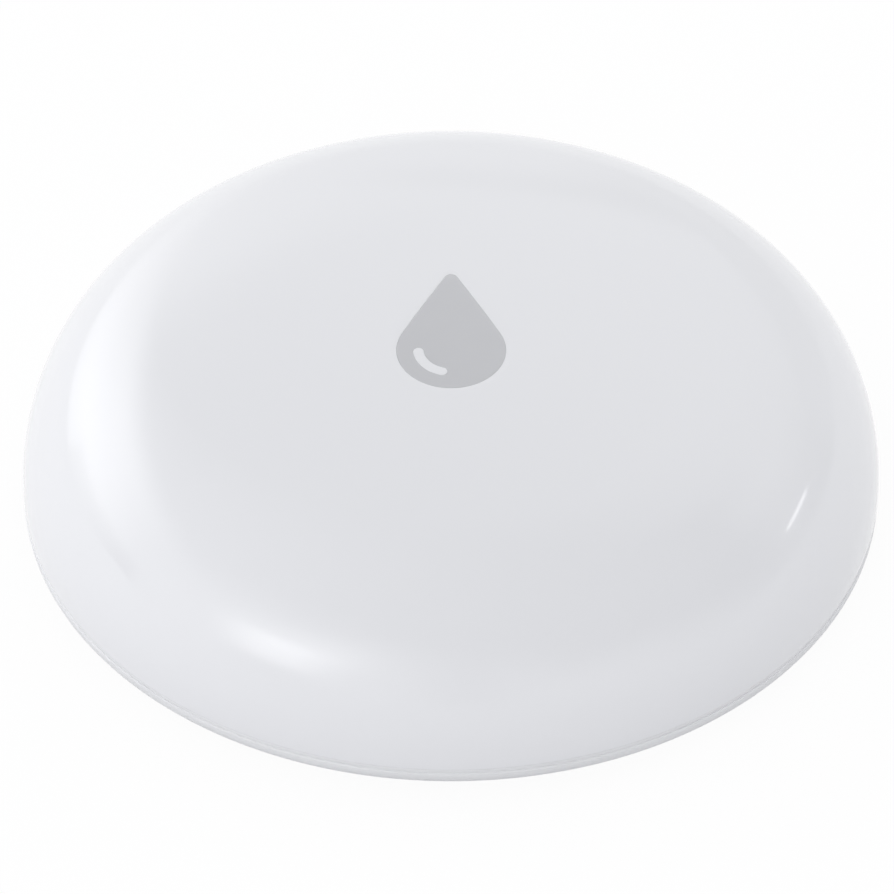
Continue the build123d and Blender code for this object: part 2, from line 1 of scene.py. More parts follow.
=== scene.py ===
import bmesh
import bpy
import numpy as np
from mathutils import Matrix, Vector


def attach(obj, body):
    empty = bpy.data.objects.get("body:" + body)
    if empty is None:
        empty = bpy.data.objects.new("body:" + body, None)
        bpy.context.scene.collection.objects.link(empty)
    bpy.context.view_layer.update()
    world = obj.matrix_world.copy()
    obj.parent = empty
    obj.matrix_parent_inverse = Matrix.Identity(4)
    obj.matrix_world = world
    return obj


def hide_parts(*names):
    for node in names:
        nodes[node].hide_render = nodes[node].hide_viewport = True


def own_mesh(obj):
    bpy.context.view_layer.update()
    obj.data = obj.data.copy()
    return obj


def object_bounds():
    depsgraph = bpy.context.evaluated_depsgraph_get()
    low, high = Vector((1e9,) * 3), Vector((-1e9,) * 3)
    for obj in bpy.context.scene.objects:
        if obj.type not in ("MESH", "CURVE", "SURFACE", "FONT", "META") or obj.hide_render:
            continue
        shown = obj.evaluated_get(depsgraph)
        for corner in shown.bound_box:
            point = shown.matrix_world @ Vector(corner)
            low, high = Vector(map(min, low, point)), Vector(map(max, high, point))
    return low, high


# A water leak sensor: a white gloss dome on a shallow satin base, standing on a pale floor in a soft
# light tent. Shapes are worked out in millimetres in the frame's own axes, and turned to metres when a
# mesh is made.
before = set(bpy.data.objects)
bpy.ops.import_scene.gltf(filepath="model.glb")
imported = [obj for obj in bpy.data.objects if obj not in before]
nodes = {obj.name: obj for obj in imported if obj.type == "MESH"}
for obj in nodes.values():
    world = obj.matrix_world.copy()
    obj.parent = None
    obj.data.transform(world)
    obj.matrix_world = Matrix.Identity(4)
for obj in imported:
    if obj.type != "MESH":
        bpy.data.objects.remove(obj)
cad_low, cad_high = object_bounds()

# Camera
# The part is seen from above its near side, well back, so that it looks flat. The aim is set off from the
# part's middle, because the part stands a little above the middle of the picture.
camera_elevation = np.radians(41.45)
camera_distance = 0.220
camera_lens = 153.3
aim_right = -0.00023
aim_up = -0.00300
middle = (cad_low + cad_high) / 2
toward_camera = Vector((0, -np.cos(camera_elevation), np.sin(camera_elevation)))
camera_up = Vector((0, np.sin(camera_elevation), np.cos(camera_elevation)))
camera = bpy.data.objects.new("camera", bpy.data.cameras.new("camera"))
bpy.context.scene.collection.objects.link(camera)
camera.data.lens = camera_lens
camera.data.clip_start = 0.01
camera.data.clip_end = 20
camera.location = middle + toward_camera * camera_distance + camera_up * aim_up + Vector((aim_right, 0, 0))
camera.rotation_euler = toward_camera.to_track_quat("Z", "Y").to_euler()
bpy.context.scene.camera = camera
bpy.context.scene.view_settings.view_transform = "Standard"


# Floor
# A wide sheet of matt board, pale grey, so that it throws no more light up at the part than the real
# floor does. The camera and mirrors see mostly the white of the backdrop on it. The rest of what they see
# is the board's own diffuse light, which keeps the faint shadow round the part.
def linear(code):
    """Linear colour of a hex code: a channel is divided by 12.92 near black, and raised to 2.4 above."""
    channels = np.array([int(code[i:i + 2], 16) for i in (1, 3, 5)]) / 255
    low = channels / 12.92
    high = ((channels + 0.055) / 1.055) ** 2.4
    return (*np.where(channels <= 0.04045, low, high), 1.0)


def add_node(tree, kind, sockets=None, **properties):
    """Adds one node. Each socket gets a value, or a link where it is given another node's output or
    another node, which then passes on the first of its outputs that is in use."""
    node = tree.nodes.new("ShaderNode" + kind)
    for name, value in properties.items():
        setattr(node, name, value)
    for name, value in (sockets or {}).items():
        if isinstance(value, bpy.types.Node):
            value = next(output for output in value.outputs if output.enabled)
        if isinstance(value, bpy.types.NodeSocket):
            tree.links.new(value, node.inputs[name])
        else:
            node.inputs[name].default_value = value
    return node


def new_material(name):
    """Empty material with the part's own coordinates, in metres, ready for its nodes."""
    material = bpy.data.materials.new(name)
    material.use_nodes = True
    material.node_tree.nodes.clear()
    place = add_node(material.node_tree, "TexCoord").outputs["Object"]
    return material, material.node_tree, place


def seen_directly(tree):
    """One for rays from the camera and for those that a mirror or clear piece sends on, otherwise zero."""
    path = add_node(tree, "LightPath").outputs
    direct = path["Is Camera Ray"]
    for kind in ("Is Glossy Ray", "Is Transmission Ray"):
        direct = add_node(tree, "Math", {0: direct, 1: path[kind]}, operation="MAXIMUM")
    return direct


floor_reach = 3.0
floor_white_share = 0.9
material, tree, _ = new_material("matt_pale_grey_board")
own_light = add_node(tree, "BsdfDiffuse", {"Color": linear("#C4C4C6")})
backdrop = add_node(tree, "Emission", {"Color": linear("#FFFFFF"), "Strength": 1.05})
share = add_node(tree, "Math", {0: seen_directly(tree), 1: floor_white_share}, operation="MULTIPLY")
blend = add_node(tree, "MixShader", {0: share, 1: own_light, 2: backdrop})
add_node(tree, "OutputMaterial", {"Surface": blend})
floor_mesh = bpy.data.meshes.new("floor")
corners = [(-1, -1), (1, -1), (1, 1), (-1, 1)]
floor_mesh.from_pydata([(floor_reach * x, floor_reach * y, 0) for x, y in corners], [], [(0, 1, 2, 3)])
floor = bpy.data.objects.new("floor", floor_mesh)
floor_mesh.materials.append(material)
bpy.context.scene.collection.objects.link(floor)


# Light tent
# White cloth on all sides, lit from outside. Panels stand where lamps shine through it, and where it
# falls away into shade. Each panel has its own centre, edges and softness, as angles on the sky seen from
# the part.
def panel(tree, direction, seen, turn, lift, sides, below, above, strength, fill):
    """Light of one panel: a soft-edged box times its strength as a mirror sees it, or its fill for matt
    faces. Its centre is turned from the far side toward +X and lifted from level. Sides, below and above
    each give the angles from the centre at which its light is whole and at which it is gone, with an S
    curve between them."""
    turn, lift = np.radians((turn, lift))
    facing = (np.sin(turn) * np.cos(lift), np.cos(turn) * np.cos(lift), np.sin(lift))
    across = (np.cos(turn), -np.sin(turn), 0)
    up = (-np.sin(turn) * np.sin(lift), -np.cos(turn) * np.sin(lift), np.cos(lift))
    ahead, aside, rise = [
        add_node(tree, "VectorMath", {0: direction, 1: axis}, operation="DOT_PRODUCT")
        for axis in (facing, across, up)
    ]
    aside = add_node(tree, "Math", {0: aside}, operation="ABSOLUTE")
    light = add_node(tree, "Math", {0: ahead, 1: 0.0}, operation="GREATER_THAN")
    (full_side, no_side), (full_below, no_below), (full_above, no_above) = np.sin(
        np.radians((sides, below, above))
    )
    edges = ((aside, no_side, full_side), (rise, -no_below, -full_below), (rise, no_above, full_above))
    for amount, start, end in edges:
        sockets = {"Value": amount, "From Min": start, "From Max": end}
        edge = add_node(tree, "MapRange", sockets, interpolation_type="SMOOTHSTEP")
        light = add_node(tree, "Math", {0: light, 1: edge}, operation="MULTIPLY")
    level = add_node(tree, "MapRange", {"Value": seen, "To Min": fill, "To Max": strength})
    return add_node(tree, "Math", {0: light, 1: level}, operation="MULTIPLY")


tent_for_matt_faces = 1.11
tent_for_mirrors = 1.0
tent_for_camera = 1.0
panels = (
    dict(turn=-64, lift=29, sides=(1, 72), below=(14.5, 40), above=(0.5, 12.5), strength=1.64, fill=1.50),
    dict(turn=-150, lift=18.2, sides=(13, 24), below=(11, 34), above=(43, 60), strength=-0.12, fill=0.87),
    dict(turn=-137, lift=12.2, sides=(1.5, 21), below=(2, 10), above=(4.6, 11.7), strength=2.18, fill=0.0),
    dict(turn=-142, lift=19.9, sides=(1, 29), below=(1, 11.3), above=(4.4, 12.2), strength=1.03, fill=0.30),
    dict(turn=79, lift=10.3, sides=(4, 7), below=(0.4, 1.3), above=(0.4, 1.3), strength=3.5, fill=0.0),
    dict(turn=128, lift=39.5, sides=(13, 52), below=(17, 36), above=(11, 25.5), strength=-0.79, fill=-0.54),
    dict(turn=43, lift=-1.5, sides=(30, 38), below=(30, 40), above=(18.4, 20.7), strength=-0.16, fill=0.43),
    dict(turn=107, lift=8.3, sides=(43, 57), below=(10, 20), above=(13.3, 26), strength=-0.26, fill=0.61),
    dict(turn=174, lift=8.9, sides=(20, 57), below=(20, 40), above=(11, 37), strength=0.37, fill=0.20),
    dict(turn=42, lift=90, sides=(40, 88), below=(6, 65), above=(40, 88), strength=-1.0, fill=-0.52),
    dict(turn=23, lift=19.9, sides=(22.6, 30), below=(0.4, 6), above=(0.2, 1.4), strength=-0.19, fill=0.0),
    dict(turn=-78, lift=5.2, sides=(16, 20), below=(3.7, 9), above=(1.5, 6.3), strength=-0.56, fill=0.0),
)
world = bpy.data.worlds.new("light_tent")
bpy.context.scene.world = world
world.use_nodes = True
tree = world.node_tree
tree.nodes.clear()
direction = add_node(tree, "TexCoord").outputs["Generated"]
seen = seen_directly(tree)
level = add_node(
    tree, "MapRange", {"Value": seen, "To Min": tent_for_matt_faces, "To Max": tent_for_mirrors}
)
for settings in panels:
    light = panel(tree, direction, seen, **settings)
    level = add_node(tree, "Math", {0: level, 1: light}, operation="ADD")
level = add_node(tree, "Math", {0: level, 1: 0.0}, operation="MAXIMUM")
is_camera = add_node(tree, "LightPath").outputs["Is Camera Ray"]
level = add_node(tree, "Mix", {"Factor": is_camera, "A": level, "B": tent_for_camera}, data_type="FLOAT")
background = add_node(tree, "Background", {"Color": linear("#FFFFFF"), "Strength": level})
add_node(tree, "OutputWorld", {"Surface": background})


# Base housing
# The shallow dish that carries everything, injection moulded in white ABS. Its mould was spark eroded,
# which leaves a satin face with a grain of about a quarter of a millimetre, so its highlights are broad
# and soft.
def repeats(millimetres):
    """How often a pattern of this size repeats in a metre, a texture's scale on these coordinates."""
    return 1000 / millimetres


def dress(material, shader, *names):
    """Ends a material with its shader, and puts it on the CAD nodes of these names."""
    add_node(material.node_tree, "OutputMaterial", {"Surface": shader})
    for name in names:
        nodes[name].data.materials.clear()
        nodes[name].data.materials.append(material)


satin_abs, tree, place = new_material("satin_moulded_abs")
grain = add_node(tree, "TexNoise", {"Vector": place, "Scale": repeats(0.25), "Detail": 3, "Roughness": 0.6})
tint = add_node(
    tree, "Mix", {"Factor": grain, "A": linear("#E2E3E6"), "B": linear("#E7E8EB")}, data_type="RGBA"
)
height = add_node(tree, "Bump", {"Strength": 0.5, "Distance": 0.00001, "Height": grain})
gloss = add_node(tree, "MapRange", {"Value": grain, "To Min": 0.38, "To Max": 0.5})
shader = add_node(
    tree, "BsdfPrincipled", {"Base Color": tint, "Roughness": gloss, "Normal": height, "IOR": 1.54}
)
dress(satin_abs, shader, "base_housing")


# Water probes, their seals and pillars
# Each probe is a headed pin turned from stainless bar. The tool leaves fine rings round the pin's own
# axis, drawn 0.15 mm apart, a little coarser than real, so that they show. At scale one, a wave texture
# has ten rings to a length of pi.
def box(name):
    """Lowest and highest corners of a CAD node, in millimetres, to the nearest micrometre."""
    corners = np.array(nodes[name].bound_box) * 1000
    return np.round(corners.min(axis=0), 3), np.round(corners.max(axis=0), 3)


wave_repeat = np.pi / 10
probe_low, probe_high = box("water_probe_right")
probe_reach = (probe_low[0] + probe_high[0]) / 2000
steel, tree, place = new_material("turned_stainless_steel")
folded = add_node(tree, "VectorMath", {0: place}, operation="ABSOLUTE")
centred = add_node(tree, "VectorMath", {0: folded, 1: (probe_reach, 0, 0)}, operation="SUBTRACT")
tool_rings = add_node(
    tree, "TexWave", {"Vector": centred, "Scale": wave_repeat * repeats(0.15)},
    wave_type="RINGS", rings_direction="Z",
).outputs["Fac"]
height = add_node(tree, "Bump", {"Strength": 0.35, "Distance": 0.000006, "Height": tool_rings})
gloss = add_node(tree, "MapRange", {"Value": tool_rings, "To Min": 0.16, "To Max": 0.26})
shader = add_node(
    tree, "BsdfPrincipled",
    {"Base Color": linear("#CBCAC8"), "Metallic": 1.0, "Roughness": gloss, "Normal": height},
)
dress(steel, shader, "water_probe_left", "water_probe_right")

# A ring of silicone seals each probe under its head, and another seals the battery lid. They have the
# matt skin that a blasted mould gives, and a bloom of about a third of a millimetre on it.
silicone, tree, place = new_material("moulded_silicone")
bloom = add_node(tree, "TexNoise", {"Vector": place, "Scale": repeats(0.35), "Detail": 3})
height = add_node(tree, "Bump", {"Strength": 0.3, "Distance": 0.000008, "Height": bloom})
gloss = add_node(tree, "MapRange", {"Value": bloom, "To Min": 0.42, "To Max": 0.58})
shader = add_node(
    tree, "BsdfPrincipled",
    {"Base Color": linear("#E6E7EA"), "Roughness": gloss, "Normal": height, "IOR": 1.41},
)
dress(silicone, shader, "probe_seals", "battery_cover_seal")

# The pillars are cut from drawn hexagonal brass bar. Drawing leaves fine lines along it, 0.1 mm apart.
brass, tree, place = new_material("drawn_brass")
stretched = add_node(tree, "Mapping", {"Vector": place, "Scale": (1, 1, 0.05)}, vector_type="POINT")
lines = add_node(tree, "TexNoise", {"Vector": stretched, "Scale": repeats(0.1), "Detail": 2})
gloss = add_node(tree, "MapRange", {"Value": lines, "To Min": 0.18, "To Max": 0.38})
shader = add_node(
    tree, "BsdfPrincipled", {"Base Color": linear("#DCC48F"), "Metallic": 1.0, "Roughness": gloss}
)
dress(brass, shader, "probe_pillars")

# Circuit board
# Glass fibre and epoxy under green lacquer. Copper tracks run under the lacquer in patches of 7 mm, along
# one side of the board or the other, and show as paler lines that stand up a little. The routed edge
# shows the straw-coloured laminate.
lane_pitch = 0.6
run_length = 5.0
track_half_width = 0.11
pad_radius = 0.24
pad_place = run_length / 2 - 2 * pad_radius
share_left_out = 0.4


def track_runs(tree, across, along, seed):
    """One on a track and zero beside it. Lanes lie side by side, each is cut into runs that start at a
    place of its own, and by chance two runs in five are left out. Each point is measured from the middle
    of its run: the band covers what lies near the lane's middle and short of the pads, and a pad what
    lies within its radius."""
    lane = add_node(tree, "Math", {0: across, 1: repeats(lane_pitch)}, operation="MULTIPLY")
    number = add_node(tree, "Math", {0: lane}, operation="FLOOR")
    own = add_node(tree, "Math", {0: number, 1: seed}, operation="ADD")
    start = add_node(tree, "TexWhiteNoise", {"W": own}, noise_dimensions="1D")
    run = add_node(tree, "Math", {0: along, 1: repeats(run_length), 2: start}, operation="MULTIPLY_ADD")
    cell = add_node(tree, "CombineXYZ", {"X": lane, "Y": run, "Z": seed})
    whole = add_node(tree, "VectorMath", {0: cell}, operation="FLOOR")
    chance = add_node(tree, "TexWhiteNoise", {"Vector": whole}, noise_dimensions="3D")
    part = add_node(tree, "VectorMath", {0: cell}, operation="FRACTION")
    offset = add_node(tree, "VectorMath", {0: part, 1: (0.5, 0.5, 0)}, operation="SUBTRACT")
    folded = add_node(tree, "VectorMath", {0: offset}, operation="ABSOLUTE")
    reach = add_node(tree, "VectorMath", {0: folded, 1: (lane_pitch, run_length, 0)}, operation="MULTIPLY")
    from_pad = add_node(tree, "VectorMath", {0: reach, 1: (0, pad_place, 0)}, operation="SUBTRACT")
    gap = add_node(tree, "VectorMath", {0: from_pad}, operation="LENGTH")
    pad = add_node(tree, "Math", {0: gap, 1: pad_radius}, operation="LESS_THAN")
    sides = add_node(tree, "SeparateXYZ", {0: from_pad}).outputs
    near_middle = add_node(tree, "Math", {0: sides["X"], 1: track_half_width}, operation="LESS_THAN")
    short_of_pad = add_node(tree, "Math", {0: sides["Y"], 1: 0.0}, operation="LESS_THAN")
    band = add_node(tree, "Math", {0: near_middle, 1: short_of_pad}, operation="MULTIPLY")
    either = add_node(tree, "Math", {0: pad, 1: band}, operation="MAXIMUM")
    kept = add_node(tree, "Math", {0: chance, 1: share_left_out}, operation="GREATER_THAN")
    return add_node(tree, "Math", {0: either, 1: kept}, operation="MULTIPLY")


lacquer = 0.02
laminate_reach = (box("circuit_board")[1][1] - lacquer) / 1000
laminate, tree, place = new_material("lacquered_glass_epoxy")
sides = add_node(tree, "SeparateXYZ", {0: place}).outputs
patches = add_node(tree, "TexVoronoi", {"Vector": place, "Scale": repeats(7.0)}, distance="CHEBYCHEV")
patch = add_node(tree, "SeparateXYZ", {0: patches.outputs["Color"]})
turned_patch = add_node(tree, "Math", {0: patch, 1: 0.5}, operation="GREATER_THAN")
straight_tracks = track_runs(tree, sides["X"], sides["Y"], seed=3.0)
turned_tracks = track_runs(tree, sides["Y"], sides["X"], seed=8.0)
tracks = add_node(
    tree, "Mix", {"Factor": turned_patch, "A": straight_tracks, "B": turned_tracks}, data_type="FLOAT"
)
paint = add_node(
    tree, "Mix", {"Factor": tracks, "A": linear("#1F5B3B"), "B": linear("#3A8055")}, data_type="RGBA"
)
flat = add_node(tree, "VectorMath", {0: place, 1: (1, 1, 0)}, operation="MULTIPLY")
reach = add_node(tree, "VectorMath", {0: flat}, operation="LENGTH")
edge = add_node(tree, "Math", {0: reach, 1: laminate_reach}, operation="GREATER_THAN")
colour = add_node(tree, "Mix", {"Factor": edge, "A": paint, "B": linear("#B9AE74")}, data_type="RGBA")
gloss = add_node(tree, "MapRange", {"Value": edge, "To Min": 0.22, "To Max": 0.7})
height = add_node(tree, "Bump", {"Strength": 0.6, "Distance": 0.00003, "Height": tracks})
shader = add_node(
    tree, "BsdfPrincipled", {"Base Color": colour, "Roughness": gloss, "Normal": height, "IOR": 1.55}
)
dress(laminate, shader, "circuit_board")

# Board screws
# Pan heads of steel with a blue-white zinc plate, which is finely mottled rather than polished.
zinc, tree, place = new_material("zinc_plated_steel")
mottle = add_node(tree, "TexNoise", {"Vector": place, "Scale": repeats(0.2), "Detail": 3})
gloss = add_node(tree, "MapRange", {"Value": mottle, "To Min": 0.24, "To Max": 0.42})
shader = add_node(
    tree, "BsdfPrincipled", {"Base Color": linear("#BCC0C4"), "Metallic": 1.0, "Roughness": gloss}
)
dress(zinc, shader, "board_screws")

# Radio chip, crystal and antenna
# The chip is a package of black epoxy, transfer moulded in a mould with a fine matt grain of 0.08 mm. The
# switch's body and plunger are moulded black too.
black_epoxy, tree, place = new_material("moulded_black_epoxy")
grain = add_node(tree, "TexNoise", {"Vector": place, "Scale": repeats(0.08), "Detail": 2})
height = add_node(tree, "Bump", {"Strength": 0.4, "Distance": 0.000006, "Height": grain})
shader = add_node(
    tree, "BsdfPrincipled",
    {"Base Color": linear("#262627"), "Roughness": 0.5, "Normal": height, "IOR": 1.55},
)
dress(black_epoxy, shader, "radio_chip", "switch_body", "switch_plunger")

# The crystal sits in a nickel plated steel case with a rolled lid, and the switch's frame is like it.
nickel, tree, place = new_material("nickel_plated_steel")
plating = add_node(tree, "TexNoise", {"Vector": place, "Scale": repeats(0.3), "Detail": 4})
gloss = add_node(tree, "MapRange", {"Value": plating, "To Min": 0.18, "To Max": 0.32})
shader = add_node(
    tree, "BsdfPrincipled", {"Base Color": linear("#CFCCC7"), "Metallic": 1.0, "Roughness": gloss}
)
dress(nickel, shader, "crystal", "switch_frame")

# The antenna is a bar of pale fired ceramic, faintly speckled.
ceramic, tree, place = new_material("fired_antenna_ceramic")
specks = add_node(tree, "TexNoise", {"Vector": place, "Scale": repeats(0.15), "Detail": 3})
tint = add_node(
    tree, "Mix", {"Factor": specks, "A": linear("#D3D9DE"), "B": linear("#DDE1E5")}, data_type="RGBA"
)
shader = add_node(tree, "BsdfPrincipled", {"Base Color": tint, "Roughness": 0.35, "IOR": 1.7})
dress(ceramic, shader, "chip_antenna")

# Capacitors and resistors
# The reservoir is a block moulded in yellow resin. The small ones stand in two rows each across the
# board's Y axis, with tinned ends, a fifth of a millimetre long, on a body of brown ceramic or black
# glaze.
resin, tree, place = new_material("moulded_yellow_resin")
grain = add_node(tree, "TexNoise", {"Vector": place, "Scale": repeats(0.1), "Detail": 2})
height = add_node(tree, "Bump", {"Strength": 0.3, "Distance": 0.000006, "Height": grain})
shader = add_node(
    tree, "BsdfPrincipled",
    {"Base Color": linear("#CEAD50"), "Roughness": 0.42, "Normal": height, "IOR": 1.55},
)
dress(resin, shader, "reservoir_capacitor")

small_half_length = 0.5
tinned_length = 0.2
body_half_length = small_half_length - tinned_length
small_parts = (
    ("brown_ceramic_with_tinned_ends", "small_capacitors", "#AD997F"),
    ("black_glaze_with_tinned_ends", "small_resistors", "#262627"),
)
for name, node, body_colour in small_parts:
    material, tree, place = new_material(name)
    along = add_node(tree, "SeparateXYZ", {0: place}).outputs["Y"]
    low, high = box(node)
    offsets = []
    for row in (high[1] - small_half_length, low[1] + small_half_length):
        offset = add_node(tree, "Math", {0: along, 1: row / 1000}, operation="SUBTRACT")
        offsets.append(add_node(tree, "Math", {0: offset}, operation="ABSOLUTE"))
    from_middle = add_node(tree, "Math", {0: offsets[0], 1: offsets[1]}, operation="MINIMUM")
    tinned = add_node(tree, "Math", {0: from_middle, 1: body_half_length / 1000}, operation="GREATER_THAN")
    colour = add_node(
        tree, "Mix", {"Factor": tinned, "A": linear(body_colour), "B": linear("#D2D2D0")}, data_type="RGBA"
    )
    shader = add_node(tree, "BsdfPrincipled", {"Base Color": colour, "Metallic": tinned, "Roughness": 0.32})
    dress(material, shader, node)

# Status lamp
# A tiny package of white heat-proof plastic, whose chalky filler leaves a grain of 0.06 mm, with a clear
# cast lens in it. Phosphor powder tints the lens pale yellow, in flecks of 0.08 mm.
lamp_plastic, tree, place = new_material("moulded_white_nylon")
grain = add_node(tree, "TexNoise", {"Vector": place, "Scale": repeats(0.06), "Detail": 2})
tint = add_node(
    tree, "Mix", {"Factor": grain, "A": linear("#E6E5E1"), "B": linear("#ECEBE7")}, data_type="RGBA"
)
gloss = add_node(tree, "MapRange", {"Value": grain, "To Min": 0.38, "To Max": 0.52})
shader = add_node(tree, "BsdfPrincipled", {"Base Color": tint, "Roughness": gloss, "IOR": 1.53})
dress(lamp_plastic, shader, "status_led")

cast_lens, tree, place = new_material("cast_clear_silicone")
flecks = add_node(tree, "TexNoise", {"Vector": place, "Scale": repeats(0.08), "Detail": 2})
tint = add_node(
    tree, "Mix", {"Factor": flecks, "A": linear("#F7ECBB"), "B": linear("#F3E295")}, data_type="RGBA"
)
shader = add_node(
    tree, "BsdfPrincipled", {"Base Color": tint, "Transmission Weight": 0.8, "Roughness": 0.12, "IOR": 1.5}
)
dress(cast_lens, shader, "led_lens")

# Battery contacts and switch legs
# Strips cut from rolled spring steel with a warm nickel and tin plate. Rolling leaves faint lines, and
# the plate softens them, so the strip has a grain of about 0.12 mm and a broad gleam.
spring_steel, tree, place = new_material("plated_spring_strip")
grain = add_node(tree, "TexNoise", {"Vector": place, "Scale": repeats(0.12), "Detail": 2})
gloss = add_node(tree, "MapRange", {"Value": grain, "To Min": 0.22, "To Max": 0.36})
shader = add_node(
    tree, "BsdfPrincipled", {"Base Color": linear("#D4D1C8"), "Metallic": 1.0, "Roughness": gloss}
)
dress(spring_steel, shader, "negative_contact", "positive_contact", "switch_terminals")


# Snap disc of the switch
# A thin domed disc of spring steel under the plunger, stamped with a dimple in its middle that meets the
# contact. A press takes 0.2 of its 0.3 mm of height, and it then pushes the plunger back up.
def turned(profile, columns=96, centre=(0, 0)):
    """Grid of a profile of (radius, height) carried round an upright axis, one column to each angle."""
    angles = np.arange(columns) * 2 * np.pi / columns
    radius, height = np.array(profile).T[:, :, None]
    x = centre[0] + radius * np.cos(angles)
    y = centre[1] + radius * np.sin(angles)
    return np.stack((x, y, height + 0 * angles), axis=-1)


def surface(grid, closed=False):
    """Corners and four-sided faces of a grid whose columns run all the way round. Each face joins a point
    to the next one in its row and to the two above them. Where the grid is closed, its last row joins the
    first."""
    numbers = np.arange(grid.shape[0] * grid.shape[1]).reshape(grid.shape[:2])
    if closed:
        numbers = np.vstack((numbers, numbers[:1]))
    beside = np.roll(numbers, -1, axis=1)
    faces = np.stack((numbers[:-1], beside[:-1], beside[1:], numbers[1:]), axis=-1)
    return grid.reshape(-1, 3), faces.reshape(-1, 4)


crisp_angle = np.radians(35)


def make_piece(name, material, slot, *surfaces):
    """New piece from closed surfaces in millimetres. Points that fall together are merged, which closes
    poles and seams, faces are turned outward, and edges that turn by more than the crisp angle stay
    sharp."""
    counts = np.cumsum([0] + [len(points) for points, _ in surfaces])
    points = np.concatenate([points for points, _ in surfaces]) / 1000
    faces = np.concatenate([faces + start for (_, faces), start in zip(surfaces, counts)])
    mesh = bpy.data.meshes.new(name)
    mesh.from_pydata(points.tolist(), [], faces.tolist())
    merged = bmesh.new()
    merged.from_mesh(mesh)
    bmesh.ops.remove_doubles(merged, verts=merged.verts, dist=1e-7)
    bmesh.ops.recalc_face_normals(merged, faces=merged.faces)
    merged.to_mesh(mesh)
    merged.free()
    mesh.shade_smooth()
    mesh.set_sharp_from_angle(angle=crisp_angle)
    mesh.materials.append(material)
    piece = bpy.data.objects.new(name, mesh)
    bpy.context.scene.collection.objects.link(piece)
    return piece


disc_low, disc_high = box("switch_dome")
disc_radius = disc_high[0]
disc_foot_z = disc_low[2]
disc_thickness = 0.1
disc_rise = disc_high[2] - disc_foot_z - disc_thickness
disc_ball = (disc_radius**2 + disc_rise**2) / (2 * disc_rise)
switch_y = (disc_low[1] + disc_high[1]) / 2
dimple_radius = 0.5
dimple_depth = 0.05
radius = np.linspace(0, disc_radius, 24)
dimple = dimple_depth * np.clip(1 - (radius / dimple_radius) ** 2, 0, 1) ** 2
under = disc_foot_z + disc_rise - disc_ball + np.sqrt(disc_ball**2 - radius**2) - dimple
profile = np.concatenate((
    np.stack((radius, under), axis=-1), np.stack((radius, under + disc_thickness), axis=-1)[::-1],
))
disc_surface = surface(turned(profile, centre=(0, switch_y)))
snap_disc = make_piece("snap_disc", spring_steel, "contact_strip", disc_surface)
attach(snap_disc, "base")
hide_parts("switch_dome")
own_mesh(snap_disc)


# Rim gasket
# A soft ring in the base's groove, moulded in pale silicone. Its outer face swells into the parting gap,
# so that the gap between the base and the cover shows as a shallow line. A press takes 0.2 of its 0.75 mm
# of height.
def rounded(corners, radii, steps=7):
    """Closed outline whose corners are arcs that touch both sides. An arc's middle lies on the corner's
    bisector, at the radius over the sine of half the corner, and its points swing evenly from one side to
    the other."""
    corners, radii = np.array(corners, dtype=float), np.array(radii, dtype=float)[:, None]
    back, ahead = np.roll(corners, 1, axis=0) - corners, np.roll(corners, -1, axis=0) - corners
    back /= np.linalg.norm(back, axis=1, keepdims=True)
    ahead /= np.linalg.norm(ahead, axis=1, keepdims=True)
    half = np.arccos((back * ahead).sum(axis=1, keepdims=True)) / 2
    bisector = (back + ahead) / np.linalg.norm(back + ahead, axis=1, keepdims=True)
    middles = corners + bisector * radii / np.sin(half)
    first = (corners + back * radii / np.tan(half) - middles)[:, None]
    last = (corners + ahead * radii / np.tan(half) - middles)[:, None]
    spread = (np.pi - 2 * half)[:, None]
    share = np.linspace(0, 1, steps)[None, :, None]
    arcs = (np.sin((1 - share) * spread) * first + np.sin(share * spread) * last) / np.sin(spread)
    return (middles[:, None] + arcs).reshape(-1, 2)


gasket_low, gasket_high = box("rim_gasket")
gasket_width = 0.8
lip_height = 0.27
lip_swell = 0.29
groove_outer = -gasket_low[0]
groove_inner = groove_outer - gasket_width
groove_floor = gasket_low[2]
rim_z = gasket_high[2]
lip_bottom = rim_z - lip_height
lip_reach = groove_outer + lip_swell
soft_edge = 0.05
inner_edge_round = 0.1
profile = rounded(
    ((groove_inner, groove_floor), (groove_outer, groove_floor), (groove_outer, lip_bottom),
     (lip_reach, lip_bottom), (lip_reach, rim_z), (groove_inner, rim_z)),
    (soft_edge, soft_edge, 0.0, soft_edge, soft_edge, inner_edge_round),
)
gasket_surface = surface(turned(profile, columns=360), closed=True)
gasket = make_piece("gasket", silicone, "soft_seal", gasket_surface)
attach(gasket, "base")
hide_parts("rim_gasket")
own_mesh(gasket)

# Cover
# The domed shell, which is also the button, moulded in white ABS in a polished mould. Its section is a
# flat crown and a round shoulder. The drop is sunk into the crown, and underneath are the post that works
# the switch, its ribs, the boss round the light guide and the barbs that snap in.
gloss_abs, tree, place = new_material("polish_moulded_abs")
ripple = add_node(tree, "TexNoise", {"Vector": place, "Scale": repeats(2.5), "Detail": 1})
height = add_node(tree, "Bump", {"Strength": 0.15, "Distance": 0.00002, "Height": ripple})
haze = add_node(tree, "TexNoise", {"Vector": place, "Scale": repeats(6), "Detail": 3})
gloss = add_node(tree, "MapRange", {"Value": haze, "To Min": 0.05, "To Max": 0.09})
shader = add_node(
    tree, "BsdfPrincipled",
    {"Base Color": linear("#E9EAEE"), "Roughness": gloss, "Normal": height, "IOR": 1.54},
)
dress(gloss_abs, shader)

body_radius = 25.0
body_height = 15.0
crown_radius = 70.0
crown_centre = body_height - crown_radius
wall = 1.6
rim_round = 0.08
below_centre = rim_z - crown_centre
shoulder_radius = (crown_radius**2 - below_centre**2 - body_radius**2) / (2 * (crown_radius - body_radius))
shoulder_reach = body_radius - shoulder_radius
shoulder_lean = np.arctan2(shoulder_reach, below_centre)

